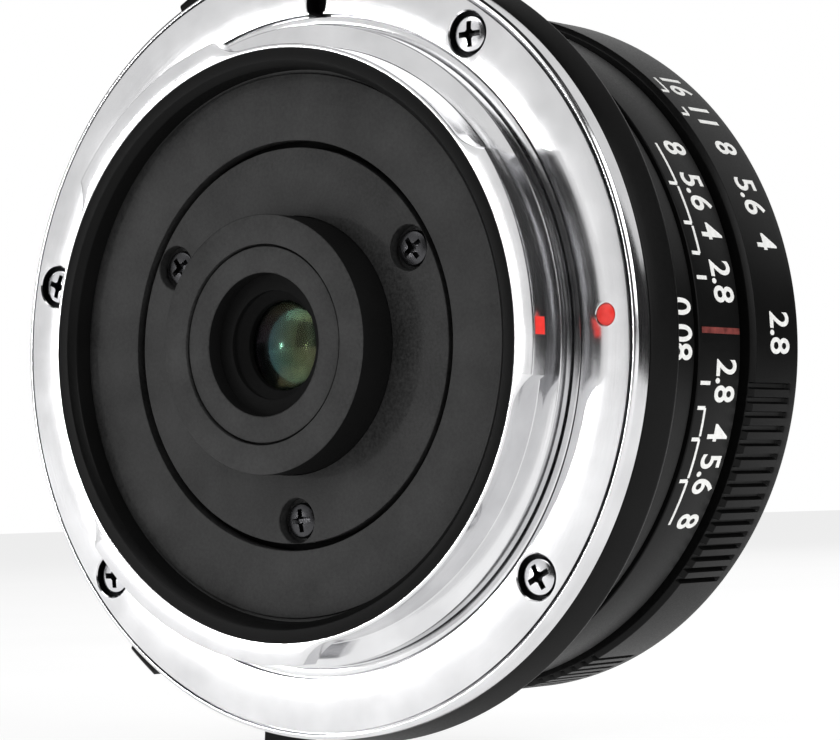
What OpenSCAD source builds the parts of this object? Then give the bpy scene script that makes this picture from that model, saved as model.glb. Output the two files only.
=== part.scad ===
// Compact manual fisheye prime lens with a three-lug bayonet, seen as it comes apart on a bench.
// Each module is drawn standing on its mount, with height h = 0 on the flange face and h growing
// towards the front element. posed() turns that into the part's frame: the optical axis lies
// along Y, the bayonet faces +Y, the front element faces -Y and the index line is at -X.
// Angles are measured about the axis from +X towards +Z.

/* [Bayonet] */
// Outer radius of the chrome flange
flange_r = 24.5; // [24:0.1:25]
// Radius of the flat mating face
face_r = 24.04; // [23.8:0.01:24.1]
// Thickness of the flange
flange_t = 1.55; // [1.5:0.05:1.6]
// Outer radius of the bayonet tube
tube_r = 18.55; // [18.4:0.05:18.6]
// Height that the tube stands out behind the mating face
tube_len = 3.4; // [3.2:0.1:3.6]
// Outer radius of the three lugs
lug_r = 19.7; // [19.5:0.1:19.8]
// Thickness of a lug along the axis
lug_t = 1.3; // [1.1:0.1:1.4]
// Radius of the locating collar at the root of the tube
collar_r = 19.97; // [19.9:0.01:20]
// Height of the locating collar behind the mating face
collar_len = 1.0; // [0.8:0.1:1.1]
// Radius of the circle of flange screws
screw_circle_r = 22.3; // [22.2:0.05:22.4]

/* [Rear opening] */
// Outer radius of the rear baffle, equal to the bore of the bayonet tube
baffle_r = 17.95; // [17.9:0.05:18]
// Radius of the hole in the rear baffle that the lens head moves in
baffle_hole_r = 12.7; // [12.6:0.05:12.8]
// Radius of the rear cover disc of the lens head
cover_r = 12.28; // [12.1:0.02:12.3]
// Outer radius of the rear cell
cell_r = 8.0; // [7.9:0.05:8]
// Height that the rear cell stands out behind the mating face
cell_len = 4.5; // [4.3:0.1:4.7]

/* [Barrel] */
// Largest radius of the focus ring's rear collar
focus_collar_r = 25.0; // [24.9:0.05:25.1]
// Radius over the focus ring's grip blocks
grip_r = 26.0; // [25.5:0.1:26]
// Radius of the focus ring's distance band
distance_r = 21.9; // [21.7:0.05:22.0]
// Radius of the fixed depth of field ring
depth_r = 22.08; // [22:0.02:22.2]
// Radius of the aperture ring
aperture_r = 22.6; // [22.5:0.05:22.7]
// Height of the aperture ring's rear edge
aperture_h0 = 16.1; // [16.05:0.05:16.1]
// Height of the aperture ring's front edge
aperture_h1 = 21.75; // [21.7:0.05:21.8]
// Height of the front element's pole above the flange face
lens_len = 25.5; // [25.4:0.1:25.6]

/* [Motion] */
// Turn of the focus ring from the closest distance to infinity
focus_turn = 90; // [80:1:95]
// Turn of the aperture ring from the widest to the smallest stop
stop_turn = 46.1; // [44:0.1:46.1]
// Turn of one iris blade over the aperture ring's turn
blade_turn = 11.1; // [9:0.1:11.1]

/* [Hidden] */
$fn = 120;

eps = 0.05;                 // overlap of a cutter past the face it opens
running = 0.05;             // radial clearance of a running fit
chamfer = 0.15;             // small edge break

// Bayonet
lug_spans = [[147.6, 188.4], [36, 77.5], [265.2, 322]];
flange_screw_angles = [13.6, 126.0, 220.8, 320.7];
flange_bore_r = 1.38;       // counterbore of a flange screw
flange_head_r = 1.18;
flange_shank_r = 0.8;
flange_bore_h = 0.95;
lip_r = 20.65;              // shallow step between the collar and the mating face
lip_h = 0.2;
pin_slot_angle = 94;        // slot that the camera's locking pin drops into
pin_slot_r0 = 21.3;
pin_slot_r1 = 22.6;
pin_slot_half = 0.8;
index_r = 22.4;
index_angle = 178.6;
dot_r = 0.64;
collar_seat_r = 18.3;       // collar of the rear baffle, clamped under the flange
collar_seat_h = 0.9;
shim_t = 0.1;
body_h = flange_t + shim_t; // rear face of the fixed barrel

// Fixed barrel and focusing helicoid
barrel_r = 18.9;
barrel_flange_r = 23.9;
barrel_flange_h = 3.1;
barrel_front_h = 15.2;
barrel_lip_r = 14.25;
sleeve_r = 15.0;
sleeve_h0 = 3.4;
sleeve_h1 = 10.6;
retainer_r = 16.0;
retainer_h0 = sleeve_h1 + 0.1;
retainer_h1 = 11.3;
thread_r = 13.4;            // focusing thread of the lens head
depth_h0 = 10.6;
depth_h1 = 15.4;
depth_lip_r = depth_r - 0.3;    // low lip in front of the depth of field ring
depth_lip_h = 15.75;
drive_angles = [20, 140, 260];
drive_h = 6.6;
drive_shank_r = 0.9;
drive_slot_end = 3.6;       // room for half a screw at each end of a slot, in degrees
key_angles = [0, 180];
key_half = 1.5;
key_h0 = 0.85;
key_screw_r = 15.6;
set_screw_angles = [0, 60, 300];
set_screw_h = 13.0;
set_screw_r = 0.7;
focus_collar_h = 3.95;
grip_angles = [for (i = [0:5]) 281 + 29 * i];
grip_width = 6;

// Lens head
head_bore_r = 10.0;
cover_h = -0.6;             // front face of the rear cover
cover_t = 1.1;
cover_screw_circle_r = 10.85;
cover_screw_angles = [30.5, 150.5, 269.5];
cover_bore_r = 1.4;
cover_head_r = 1.1;
cover_head_h0 = -1.3;
cover_head_h1 = -0.9;
cover_shank_r = 0.6;
web_h = 12.5;               // partition in front of the iris
bearing_r = 13.75;          // the aperture ring's web turns on this
neck_r = 12.0;
floor_h = 17.0;
seat_h = 18.0;
housing_r = 19.5;
front_glass_r = 15.5;

// Rear cell
ring_seat_r = 6.15;
rear_bore_r = 4.4;
retainer_recess = 0.15;     // step from the cell's end down to its retaining ring
mask_hole_r = 3.37;
mask_h0 = -3.3;
mask_h1 = -2.9;

// Iris
blade_count = 7;
pivot_r = 8.0;
pivot_pin_r = 0.25;
pivot_hole_r = 0.28;
drive_pin_r = 0.22;
cam_half = 0.26;            // half the width of a cam slot
cam_steps = 12;
drive_pin_polar = [8.2, -17];
stop_r = 1.85;              // fixed stop in the iris base
blade_edge_r = 1.95;        // concave inner edge of an open blade
blade_t = 0.09;
blade_pitch_h = 0.14;
iris_h0 = 9.9;
iris_h1 = 10.7;
blade_h0 = 10.75;
actuator_h0 = 11.8;
actuator_h1 = 12.4;
actuator_r = head_bore_r - 0.06;
lever_angle = -23;
lever_half = 1.2;
lever_notch_r = 9.2;
window_end = 7.1;           // room for half the lever at each end of its window, in degrees
foot_half = 4;
foot_h = 15.55;
foot_screw_offset = 2.6;
foot_screw_r = 15.0;

// ---- frame and shared shapes ----

module posed() {
    rotate([90, 0, 0]) children();
}

// A turned part from its half section, given as [radius, height] points.
module turned(section) {
    rotate_extrude() polygon(section);
}

// A sector of a turned part between two angles.
module turned_sector(section, a0, a1) {
    rotate([0, 0, a0]) rotate_extrude(angle = a1 - a0) polygon(section);
}

function block(r0, r1, h0, h1) = [[r0, h0], [r1, h0], [r1, h1], [r0, h1]];

module ring(r0, r1, h0, h1) {
    turned(block(r0, r1, h0, h1));
}

// Places its children at a radius and an angle about the axis.
module at(r, angle, h = 0) {
    rotate([0, 0, angle]) translate([r, 0, h]) children();
}

module rod(r, h0, h1) {
    translate([0, 0, h0]) cylinder(r = r, h = h1 - h0);
}

// A round bar that runs outwards from the axis, between two radii.
module radial_rod(angle, h, r, r0, r1) {
    rotate([0, 0, angle]) translate([r0, 0, h]) rotate([0, 90, 0]) cylinder(r = r, h = r1 - r0);
}

// A cross recess for a screwdriver, cut downwards from height h into the part above it.
module cross_recess(size, h, depth) {
    for (turn = [0, 90])
        rotate([0, 0, turn])
            translate([-size / 2, -size / 7, h - eps]) cube([size, size / 3.5, depth + eps]);
}

// A cross-head machine screw, with its head towards the rear.
module screw(head_r, shank_r, head_h, seat_h, end_h, turn = 0) {
    difference() {
        union() {
            rod(head_r, head_h, seat_h);
            rod(shank_r, seat_h, end_h);
        }
        rotate([0, 0, turn]) cross_recess(head_r * 1.35, head_h, (seat_h - head_h) * 0.7);
    }
}

// A ball of glass whose pole is at height h; side is 1 for a front pole and -1 for a rear one.
module pole(radius, h, side) {
    translate([0, 0, h - side * radius]) sphere(r = radius);
}

// ---- mount and fixed parts ----

module lug(span) {
    turned_sector(block(tube_r - 0.3, lug_r, -tube_len, lug_t - tube_len), span[0], span[1]);
}

// Outline of a straight slot with round ends, along X between two radii.
function slot_outline(r0, r1, half) = concat(
    [for (a = [90:15:270]) [r0 + half * cos(a), half * sin(a)]],
    [for (a = [-90:15:90]) [r1 + half * cos(a), half * sin(a)]]
);

module pin_slot() {
    rotate([0, 0, pin_slot_angle]) translate([0, 0, -eps])
        linear_extrude(1.2 + eps) polygon(slot_outline(pin_slot_r0, pin_slot_r1, pin_slot_half));
}

module mount_flange() {
    section = [
        [baffle_r, -tube_len], [tube_r, -tube_len], [tube_r, -collar_len],
        [collar_r, -collar_len], [collar_r, lip_h], [lip_r, lip_h], [lip_r + 0.1, 0],
        [face_r, 0], [face_r + 0.1, chamfer], [flange_r - 0.1, chamfer + 0.05],
        [flange_r, chamfer + 0.15], [flange_r, flange_t - 0.1], [flange_r - 0.1, flange_t],
        [collar_seat_r + 0.05, flange_t], [collar_seat_r + 0.05, collar_seat_h],
        [baffle_r, collar_seat_h]
    ];
    color("gainsboro") difference() {
        union() {
            turned(section);
            for (span = lug_spans) lug(span);
        }
        for (angle = flange_screw_angles) at(screw_circle_r, angle) {
            rod(flange_bore_r, -eps, flange_bore_h);
            rod(flange_shank_r, 0, flange_t + eps);
        }
        at(index_r, index_angle) rod(dot_r, -eps, 0.5);
        pin_slot();
    }
}

module mount_screws() {
    color("silver")
        for (i = [0:3]) at(screw_circle_r, flange_screw_angles[i])
            screw(flange_head_r, flange_shank_r, 0.1, flange_bore_h, 3.0, 30 * i + 10);
}

module mount_index_dot() {
    color("tomato") at(index_r, index_angle) rod(dot_r, -0.04, 0.5);
}

module mount_shim() {
    color("goldenrod") difference() {
        ring(collar_seat_r + 0.1, barrel_flange_r - 0.1, flange_t, body_h);
        for (angle = flange_screw_angles) at(screw_circle_r, angle)
            rod(flange_shank_r + 0.1, flange_t - eps, body_h + eps);
    }
}

module rear_baffle() {
    wall_r = 17.1;
    web_h0 = -1.85;
    web_h1 = -0.95;
    color("dimgray") turned([
        [wall_r + 0.4, -tube_len], [baffle_r, -tube_len], [baffle_r, collar_seat_h],
        [collar_seat_r, collar_seat_h], [collar_seat_r, body_h], [wall_r, body_h],
        [wall_r, web_h1], [baffle_hole_r, web_h1], [baffle_hole_r, web_h0],
        [wall_r, web_h0], [wall_r, -tube_len + 0.45]
    ]);
}

module fixed_barrel() {
    section = [
        [barrel_lip_r, body_h], [barrel_flange_r, body_h], [barrel_flange_r, barrel_flange_h],
        [barrel_r, barrel_flange_h], [barrel_r, barrel_front_h], [retainer_r, barrel_front_h],
        [retainer_r, retainer_h0], [sleeve_r + running, retainer_h0],
        [sleeve_r + running, sleeve_h0 - 0.1], [barrel_lip_r, sleeve_h0 - 0.1]
    ];
    slot = block(sleeve_r - eps, barrel_r + eps, drive_h - drive_shank_r - running,
                 drive_h + drive_shank_r + running);
    color("darkgray") difference() {
        turned(section);
        for (angle = flange_screw_angles) at(screw_circle_r, angle)
            rod(flange_shank_r, body_h - eps, barrel_flange_h + eps);
        for (angle = drive_angles)
            turned_sector(slot, angle - focus_turn - drive_slot_end, angle + drive_slot_end);
        for (angle = key_angles) at(key_screw_r, angle) rod(cover_shank_r, body_h - eps, 3.2);
        for (angle = set_screw_angles)
            radial_rod(angle, set_screw_h, set_screw_r, barrel_r - 0.4, barrel_r + eps);
    }
}

module depth_scale_ring() {
    color("#1c1c1c") difference() {
        turned([
            [barrel_r, depth_h0], [depth_r - chamfer, depth_h0], [depth_r, depth_h0 + chamfer],
            [depth_r, depth_h1 - chamfer], [depth_r - chamfer, depth_h1], [depth_lip_r, depth_h1],
            [depth_lip_r, depth_lip_h], [barrel_r, depth_lip_h]
        ]);
        for (angle = set_screw_angles)
            radial_rod(angle, set_screw_h, set_screw_r, barrel_r - eps, depth_r + eps);
    }
}

module scale_ring_screws() {
    color("black") for (angle = set_screw_angles)
        radial_rod(angle, set_screw_h, set_screw_r, barrel_r - 0.4, depth_r - 0.4);
}

module guide_keys() {
    nose_r = 12.4;
    heel_r = 16.8;
    color("khaki") for (angle = key_angles) difference() {
        rotate([0, 0, angle]) translate([nose_r, -key_half, key_h0])
            cube([heel_r - nose_r, 2 * key_half, body_h - key_h0]);
        at(key_screw_r, angle) rod(cover_shank_r, key_h0 - eps, body_h + eps);
    }
}

module guide_key_screws() {
    color("silver") for (angle = key_angles)
        at(key_screw_r, angle) screw(0.95, cover_shank_r, key_h0 - 0.4, key_h0, 3.1, 20);
}

module helicoid_retainer() {
    color("gray") ring(14.0, retainer_r, retainer_h0, retainer_h1);
}

// ---- focus ring and its helicoid ----

module focus_ring() {
    skirt_r = barrel_flange_r + 0.1;
    web_h = barrel_flange_h + 0.15;
    bore_r = barrel_r + running;
    block_section = [
        [skirt_r + 0.2, 1.9], [grip_r - 0.2, 1.9], [grip_r, 2.1], [grip_r, 3.6],
        [grip_r - 0.3, 3.85], [skirt_r + 0.2, 3.85]
    ];
    color("#202020") difference() {
        union() {
            turned([
                [skirt_r, 1.75], [skirt_r + 0.35, 1.75], [focus_collar_r, focus_collar_h - 0.25],
                [focus_collar_r - 0.1, focus_collar_h], [distance_r + 0.8, 4.5],
                [distance_r, 5.1], [distance_r, depth_h0 - 0.25],
                [distance_r - chamfer, depth_h0 - 0.1], [bore_r, depth_h0 - 0.1],
                [bore_r, web_h], [skirt_r, web_h]
            ]);
            for (angle = grip_angles)
                turned_sector(block_section, angle - grip_width / 2, angle + grip_width / 2);
        }
        for (angle = drive_angles) {
            radial_rod(angle, drive_h, drive_shank_r, bore_r - eps, distance_r + eps);
            radial_rod(angle, drive_h, 1.55, 20.65, distance_r + eps);
        }
    }
}

module focus_drive_screws() {
    color("silver") for (angle = drive_angles) difference() {
        union() {
            radial_rod(angle, drive_h, drive_shank_r, thread_r + 0.2, 20.7);
            radial_rod(angle, drive_h, 1.45, 20.65, 21.3);
        }
        rotate([0, 0, angle]) translate([20.95, -1.6, drive_h - 0.15]) cube([1, 3.2, 0.3]);
    }
}

module helicoid_sleeve() {
    color("goldenrod") difference() {
        ring(thread_r + running, sleeve_r, sleeve_h0, sleeve_h1);
        for (angle = drive_angles)
            radial_rod(angle, drive_h, drive_shank_r, thread_r, sleeve_r + eps);
    }
}

// ---- lens head ----

module head_barrel() {
    rear_h = -0.3;
    section = [
        [head_bore_r, cover_h], [cover_r - 0.1, cover_h], [cover_r - 0.1, rear_h],
        [thread_r, rear_h], [thread_r, 15.5], [bearing_r + 0.4, 15.5], [bearing_r + 0.4, 16.05],
        [bearing_r, 16.05], [bearing_r, floor_h], [neck_r, floor_h], [neck_r, 17.9],
        [8.6, 17.9], [8.6, 17.05], [8.0, 17.05], [8.0, 14.45], [4.62, 14.45],
        [4.62, 13.6], [4.1, 13.6], [4.1, web_h], [head_bore_r, web_h]
    ];
    window = block(head_bore_r - eps, thread_r + eps, actuator_h0 - 0.2, actuator_h1 + 0.05);
    color("slategray") difference() {
        turned(section);
        turned_sector(window, lever_angle - window_end, lever_angle + stop_turn + window_end);
        for (angle = key_angles) rotate([0, 0, angle])
            translate([12.3, -key_half - running, cover_h - eps])
                cube([2, 2 * (key_half + running), 3.6]);
        for (angle = cover_screw_angles) at(cover_screw_circle_r, angle)
            rod(cover_shank_r, cover_h - eps, 2.8);
    }
}

module rear_cover() {
    color("#3a3a3a") difference() {
        ring(cell_r + 0.05, cover_r, cover_h - cover_t, cover_h);
        for (angle = cover_screw_angles) at(cover_screw_circle_r, angle) {
            rod(cover_bore_r, cover_h - cover_t - eps, cover_head_h1);
            rod(cover_shank_r, cover_head_h1 - eps, cover_h + eps);
        }
    }
}

module rear_cover_screws() {
    color("#333333") for (i = [0:2]) at(cover_screw_circle_r, cover_screw_angles[i])
        screw(cover_head_r, cover_shank_r, cover_head_h0, cover_head_h1, 2.6, 15 + 25 * i);
}

module rear_cell() {
    color("#303030") turned([
        [3.6, mask_h1], [2.8, -2.35], [2.8, -1.95], [3.2, -1.95], [3.2, 0.4],
        [rear_bore_r, 0.4], [rear_bore_r, 9.1], [4.8, 9.1], [4.8, 9.85], [head_bore_r, 9.85],
        [head_bore_r, 8.9], [cell_r, 8.9], [cell_r, chamfer - cell_len],
        [cell_r - chamfer, -cell_len], [ring_seat_r, -cell_len], [ring_seat_r, mask_h1]
    ]);
}

module rear_retainer() {
    end_h = retainer_recess - cell_len;
    color("#343434") turned([
        [rear_bore_r + 0.1, end_h], [ring_seat_r - 0.1, end_h],
        [ring_seat_r, end_h + 0.1], [ring_seat_r, mask_h0],
        [rear_bore_r, mask_h0], [rear_bore_r, end_h + 0.1]
    ]);
}

module rear_mask() {
    color("black") ring(mask_hole_r, ring_seat_r, mask_h0, mask_h1);
}

module rear_element() {
    color("#5f7d72") intersection() {
        rod(3.2, -2.6, 0.6);
        pole(6, -2.6, -1);
        pole(9, 0.6, 1);
    }
}

module rear_spacer() {
    color("#222222") turned([
        [2.95, 0.06], [3.18, 0.06], [3.18, 0.45], [rear_bore_r, 0.45],
        [rear_bore_r, 3.8], [3.3, 3.8], [3.3, 0.6], [2.95, 0.6]
    ]);
}

cement_r = 9;               // radius of the cemented surface of the doublet
cement_h = 4.6;
rear_glass_r = 4.35;

module doublet_flint() {
    color("#7d8f8a") difference() {
        rod(rear_glass_r, 3.8, 5.72);
        pole(cement_r, cement_h, -1);
    }
}

module doublet_crown() {
    color("#8a9c97") intersection() {
        rod(rear_glass_r, 3.8, 7.6);
        pole(cement_r, cement_h, -1);
        pole(7.5, 7.6, 1);
    }
}

module mid_spacer() {
    color("#222222") ring(3.9, rear_bore_r, 6.55, 7.9);
}

module mid_element() {
    color("#7d8f8a") intersection() {
        rod(rear_glass_r, 7.9, 9.8);
        pole(10, 9.8, 1);
    }
}

module rear_group_retainer() {
    color("#222222") ring(3.8, 4.8, 9.12, 9.7);
}

module third_element() {
    color("#7d8f8a") intersection() {
        rod(4.6, 13.6, 16.3);
        pole(6.5, 16.3, 1);
    }
}

module front_spacer() {
    color("#222222") turned([
        [4.35, 14.78], [4.8, 14.5], [8.0, 14.5], [8.0, 15.6], [4.8, 15.6], [4.35, 15.2]
    ]);
}

module second_element() {
    color("#7d8f8a") difference() {
        intersection() {
            rod(7.95, 15.6, 19.6);
            pole(15, 19.6, 1);
        }
        pole(5.2, 18.6, 1);
    }
}

module front_inner_retainer() {
    color("#222222") turned([
        [7.2, 17.82], [8.0, 17.36], [8.0, 17.1], [8.6, 17.1], [8.6, 17.9], [7.2, 17.9]
    ]);
}

module front_housing() {
    color("slategray") turned([
        [neck_r, floor_h], [housing_r, floor_h], [housing_r, 20.6], [17.0, 20.6],
        [17.0, 19.9], [front_glass_r + 0.05, 19.9], [front_glass_r + 0.05, seat_h],
        [neck_r, seat_h]
    ]);
}

module front_element() {
    color("#51635e") difference() {
        intersection() {
            rod(front_glass_r, seat_h, lens_len);
            pole(24, lens_len, 1);
        }
        pole(9.5, lens_len - 2.2, 1);
    }
}

module front_bezel() {
    color("#1a1a1a") turned([
        [15.05, 20.26], [15.5, 19.92], [17.0, 19.92], [17.0, 20.65], [housing_r - 0.05, 20.65],
        [housing_r - 0.05, 21.85], [21.9, 21.85], [21.9, 22.1], [21.7, 22.3], [19.6, 22.3],
        [15.9, 20.95], [15.05, 20.6]
    ]);
}

// ---- aperture ring, lever and iris ----

knurl_sections = [for (i = [0:4]) 205.8 + 56 * i];
knurl_grooves = 15;
knurl_pitch = 2.3;

module aperture_ring() {
    groove_w = 0.5;
    groove_d = 0.32;
    color("#1c1c1c") difference() {
        turned([
            [bearing_r + running, aperture_h0], [aperture_r - 0.2, aperture_h0],
            [aperture_r, aperture_h0 + 0.2], [aperture_r, aperture_h1 - 0.3],
            [aperture_r - 0.3, aperture_h1], [housing_r + running, aperture_h1],
            [housing_r + running, floor_h - 0.1], [bearing_r + running, floor_h - 0.1]
        ]);
        for (middle = knurl_sections, i = [0:knurl_grooves - 1])
            rotate([0, 0, middle + (i - (knurl_grooves - 1) / 2) * knurl_pitch])
                translate([aperture_r - groove_d, -groove_w / 2, aperture_h0 - eps])
                    cube([1, groove_w, 4.6]);
        for (side = [-1, 1]) rotate([0, 0, lever_angle])
            translate([0, side * foot_screw_offset, 0]) translate([foot_screw_r, 0, 0])
                rod(0.4, aperture_h0 - eps, floor_h);
    }
}

module aperture_lever() {
    color("silver") difference() {
        rotate([0, 0, lever_angle]) {
            translate([14.3, -foot_half, foot_h]) cube([1.5, 2 * foot_half, aperture_h0 - foot_h]);
            translate([14.3, -lever_half, actuator_h0])
                cube([0.7, 2 * lever_half, aperture_h0 - actuator_h0]);
            translate([lever_notch_r, -lever_half, actuator_h0])
                cube([15 - lever_notch_r, 2 * lever_half, actuator_h1 - actuator_h0]);
        }
        for (side = [-1, 1]) rotate([0, 0, lever_angle])
            translate([foot_screw_r, side * foot_screw_offset, 0]) {
                rod(0.6, foot_h - eps, foot_h + 0.3);
                rod(0.4, foot_h, aperture_h0 + eps);
            }
    }
}

module aperture_lever_screws() {
    color("dimgray") for (side = [-1, 1]) rotate([0, 0, lever_angle])
        translate([foot_screw_r, side * foot_screw_offset, 0])
            screw(0.6, 0.4, foot_h, foot_h + 0.3, floor_h - 0.2, 30);
}

module iris_base() {
    color("#2a2a2a") difference() {
        union() {
            ring(stop_r, head_bore_r, iris_h0, iris_h1);
            ring(head_bore_r - 0.25, head_bore_r, iris_h1, actuator_h0 - 0.05);
        }
        for (i = [0:blade_count - 1]) at(pivot_r, i * 360 / blade_count)
            rod(pivot_hole_r, iris_h0 - eps, iris_h1 + eps);
    }
}

// Where a blade's drive pin stands when the aperture ring has turned by the share t of its travel.
function spin(p, a) = [p[0] * cos(a) - p[1] * sin(a), p[0] * sin(a) + p[1] * cos(a)];
drive_pin = spin([drive_pin_polar[0], 0], drive_pin_polar[1]);
function pin_at(t) = [pivot_r, 0] + spin(drive_pin - [pivot_r, 0], blade_turn * t);
// The same place as the turning actuator sees it: the middle line of a cam slot.
function cam_at(t) = spin(pin_at(t), -stop_turn * t);
function unit(v) = v / norm(v);
function cam_side(t) = spin(unit(cam_at(t + 0.01) - cam_at(t - 0.01)), 90);

// Half circle that closes a cam slot at one end of the travel.
function cam_end(t, turns) = [for (a = turns) cam_at(t) + cam_half * spin(cam_side(t), a)];

module cam_slot() {
    shares = [for (i = [0:cam_steps]) i / cam_steps];
    outline = concat(
        [for (t = shares) cam_at(t) + cam_half * cam_side(t)],
        cam_end(1, [-15:-15:-165]),
        [for (i = [cam_steps:-1:0]) cam_at(shares[i]) - cam_half * cam_side(shares[i])],
        cam_end(0, [165:-15:15])
    );
    translate([0, 0, actuator_h0 - eps])
        linear_extrude(actuator_h1 - actuator_h0 + 2 * eps) polygon(outline);
}

module iris_actuator() {
    color("silver") difference() {
        ring(2.4, actuator_r, actuator_h0, actuator_h1);
        for (i = [0:blade_count - 1]) rotate([0, 0, i * 360 / blade_count]) cam_slot();
        rotate([0, 0, lever_angle]) translate([lever_notch_r, -lever_half, actuator_h0 - eps])
            cube([1, 2 * lever_half, actuator_h1 - actuator_h0 + 2 * eps]);
    }
}

// Flat outline of an open blade: a crescent, its neck to the pivot and an ear for the drive pin.
module blade_outline() {
    reach = 12;
    difference() {
        intersection() {
            translate([1.3, 0.2]) circle(r = 5.4);
            polygon([[0, 0], for (a = [-12:41:152]) reach * [cos(a), sin(a)]]);
        }
        circle(r = blade_edge_r);
    }
    translate([5.5, -0.7]) square([pivot_r - 5.5, 1.4]);
    translate([pivot_r, 0]) circle(r = 0.7);
    translate(drive_pin) circle(r = 0.5);
    side = spin(unit(drive_pin - [pivot_r, 0]), 90) * 0.4;
    polygon([[pivot_r, 0] + side, drive_pin + side, drive_pin - side, [pivot_r, 0] - side]);
}

module iris_blade(i) {
    h = blade_h0 + i * blade_pitch_h;
    color(i % 2 == 0 ? "#4a4a4a" : "#3c3c3c") rotate([0, 0, i * 360 / blade_count]) {
        translate([0, 0, h]) linear_extrude(blade_t) blade_outline();
        translate([pivot_r, 0, 0]) rod(pivot_pin_r, iris_h0 + 0.05, h + blade_t);
        translate(drive_pin) rod(drive_pin_r, h, actuator_h1 - 0.1);
    }
}

posed() mount_flange();
posed() mount_screws();
posed() mount_index_dot();
posed() mount_shim();
posed() rear_baffle();
posed() fixed_barrel();
posed() depth_scale_ring();
posed() scale_ring_screws();
posed() guide_keys();
posed() guide_key_screws();
posed() helicoid_retainer();
posed() focus_ring();
posed() focus_drive_screws();
posed() helicoid_sleeve();
posed() head_barrel();
posed() rear_cover();
posed() rear_cover_screws();
posed() rear_cell();
posed() rear_retainer();
posed() rear_mask();
posed() rear_element();
posed() rear_spacer();
posed() doublet_flint();
posed() doublet_crown();
posed() mid_spacer();
posed() mid_element();
posed() rear_group_retainer();
posed() iris_base();
posed() third_element();
posed() front_spacer();
posed() second_element();
posed() front_inner_retainer();
posed() front_housing();
posed() front_element();
posed() front_bezel();
posed() aperture_ring();
posed() aperture_lever();
posed() aperture_lever_screws();
posed() iris_actuator();
for (i = [0:blade_count - 1])
    posed() iris_blade(i);
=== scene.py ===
import math

import bmesh
import bpy
from mathutils import Matrix, Vector


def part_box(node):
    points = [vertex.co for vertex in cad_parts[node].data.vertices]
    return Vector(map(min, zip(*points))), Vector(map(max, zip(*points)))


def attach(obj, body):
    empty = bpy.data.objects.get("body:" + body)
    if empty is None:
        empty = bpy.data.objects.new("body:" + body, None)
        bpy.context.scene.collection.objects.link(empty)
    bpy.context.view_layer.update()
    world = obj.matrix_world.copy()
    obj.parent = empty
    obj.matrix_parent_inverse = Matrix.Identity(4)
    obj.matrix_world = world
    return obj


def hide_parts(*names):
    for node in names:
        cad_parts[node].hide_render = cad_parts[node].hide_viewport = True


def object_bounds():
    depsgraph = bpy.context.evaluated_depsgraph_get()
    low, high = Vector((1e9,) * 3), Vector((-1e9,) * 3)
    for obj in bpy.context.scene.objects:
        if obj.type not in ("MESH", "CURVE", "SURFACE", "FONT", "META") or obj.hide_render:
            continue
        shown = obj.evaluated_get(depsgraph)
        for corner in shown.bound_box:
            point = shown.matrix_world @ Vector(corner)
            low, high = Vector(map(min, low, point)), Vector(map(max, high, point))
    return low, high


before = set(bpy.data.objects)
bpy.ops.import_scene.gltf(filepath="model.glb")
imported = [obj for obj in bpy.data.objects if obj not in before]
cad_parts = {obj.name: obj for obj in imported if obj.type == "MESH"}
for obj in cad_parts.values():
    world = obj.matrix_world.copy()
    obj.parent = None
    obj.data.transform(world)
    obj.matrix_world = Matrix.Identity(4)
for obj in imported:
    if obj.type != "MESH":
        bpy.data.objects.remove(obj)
cad_low, cad_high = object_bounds()

# Looks of a fisheye prime lens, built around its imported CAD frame. Pieces are drawn in the bench frame
# of the CAD: angles in degrees about the optical axis, from +X towards +Z, and heights in millimetres
# from the flange face towards the front glass. POSED turns that frame into the row frame.

MM = 0.001
POSED = Matrix(((MM, 0, 0, 0), (0, 0, -MM, 0), (0, MM, 0, 0), (0, 0, 0, 1)))


def reach(node):
    """Outer radius of a CAD node about the optical axis, in millimetres."""
    low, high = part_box(node)
    return max(abs(low.x), abs(high.x), abs(low.z), abs(high.z)) / MM


def heights(node):
    """Lowest and highest height of a CAD node, in millimetres."""
    low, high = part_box(node)
    return -high.y / MM, -low.y / MM


# ---- dimensions, in millimetres and degrees ----

FLANGE_R = reach("mount_flange")
FLANGE_END, FLANGE_FRONT = heights("mount_flange")
BORE_R = reach("rear_baffle")
TUBE_R = 18.55
LUG_R = 19.7
LUG_FRONT = FLANGE_END + 1.3
LUG_SPANS = ((36.0, 77.5), (147.6, 188.4), (265.2, 322.0))
RUNOUT_R = 2.7              # radius of the cutter that ran out at each end of a lug
GROOVE_DEPTH = 0.5          # thin grooves round the flange
COLLAR_R = 19.97
FACE_R = 24.04
SCREW_CIRCLE_R = 22.3
SCREW_BORE_R = 1.38
SCREW_BORE_DEPTH = 0.95
PIN_SLOT_ANGLE = 94.0
PIN_SLOT_RADII = (21.3, 22.6)
PIN_SLOT_HALF = 0.8
PIN_SLOT_DEPTH = 1.2

COVER_R = reach("rear_cover")
COVER_END, COVER_FRONT = heights("rear_cover")
COVER_SCREW_CIRCLE_R = 10.85
COVER_BORE_R = 1.4
CELL_R = 8.0
CELL_END = heights("rear_cell")[0]
SEAT_R = reach("rear_retainer")
RETAINER_END, RETAINER_FRONT = heights("rear_retainer")
RETAINER_BORE_R = 4.4
MASK_HOLE_R = 3.37

DEPTH_R = reach("depth_scale_ring")
DEPTH_REAR = heights("depth_scale_ring")[0]
DEPTH_FRONT = 15.4
DEPTH_LIP = (21.78, heights("depth_scale_ring")[1])
DISTANCE_R = 21.9
COLLAR_TOP_R = 25.0
BARREL_R = 18.95
APERTURE_R = reach("aperture_ring")
APERTURE_REAR, APERTURE_FRONT = heights("aperture_ring")
HOUSING_R = 19.55
GLASS_R = reach("front_element")
GLASS_POLE = heights("front_element")[1]


# ---- mesh tools ----

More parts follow.
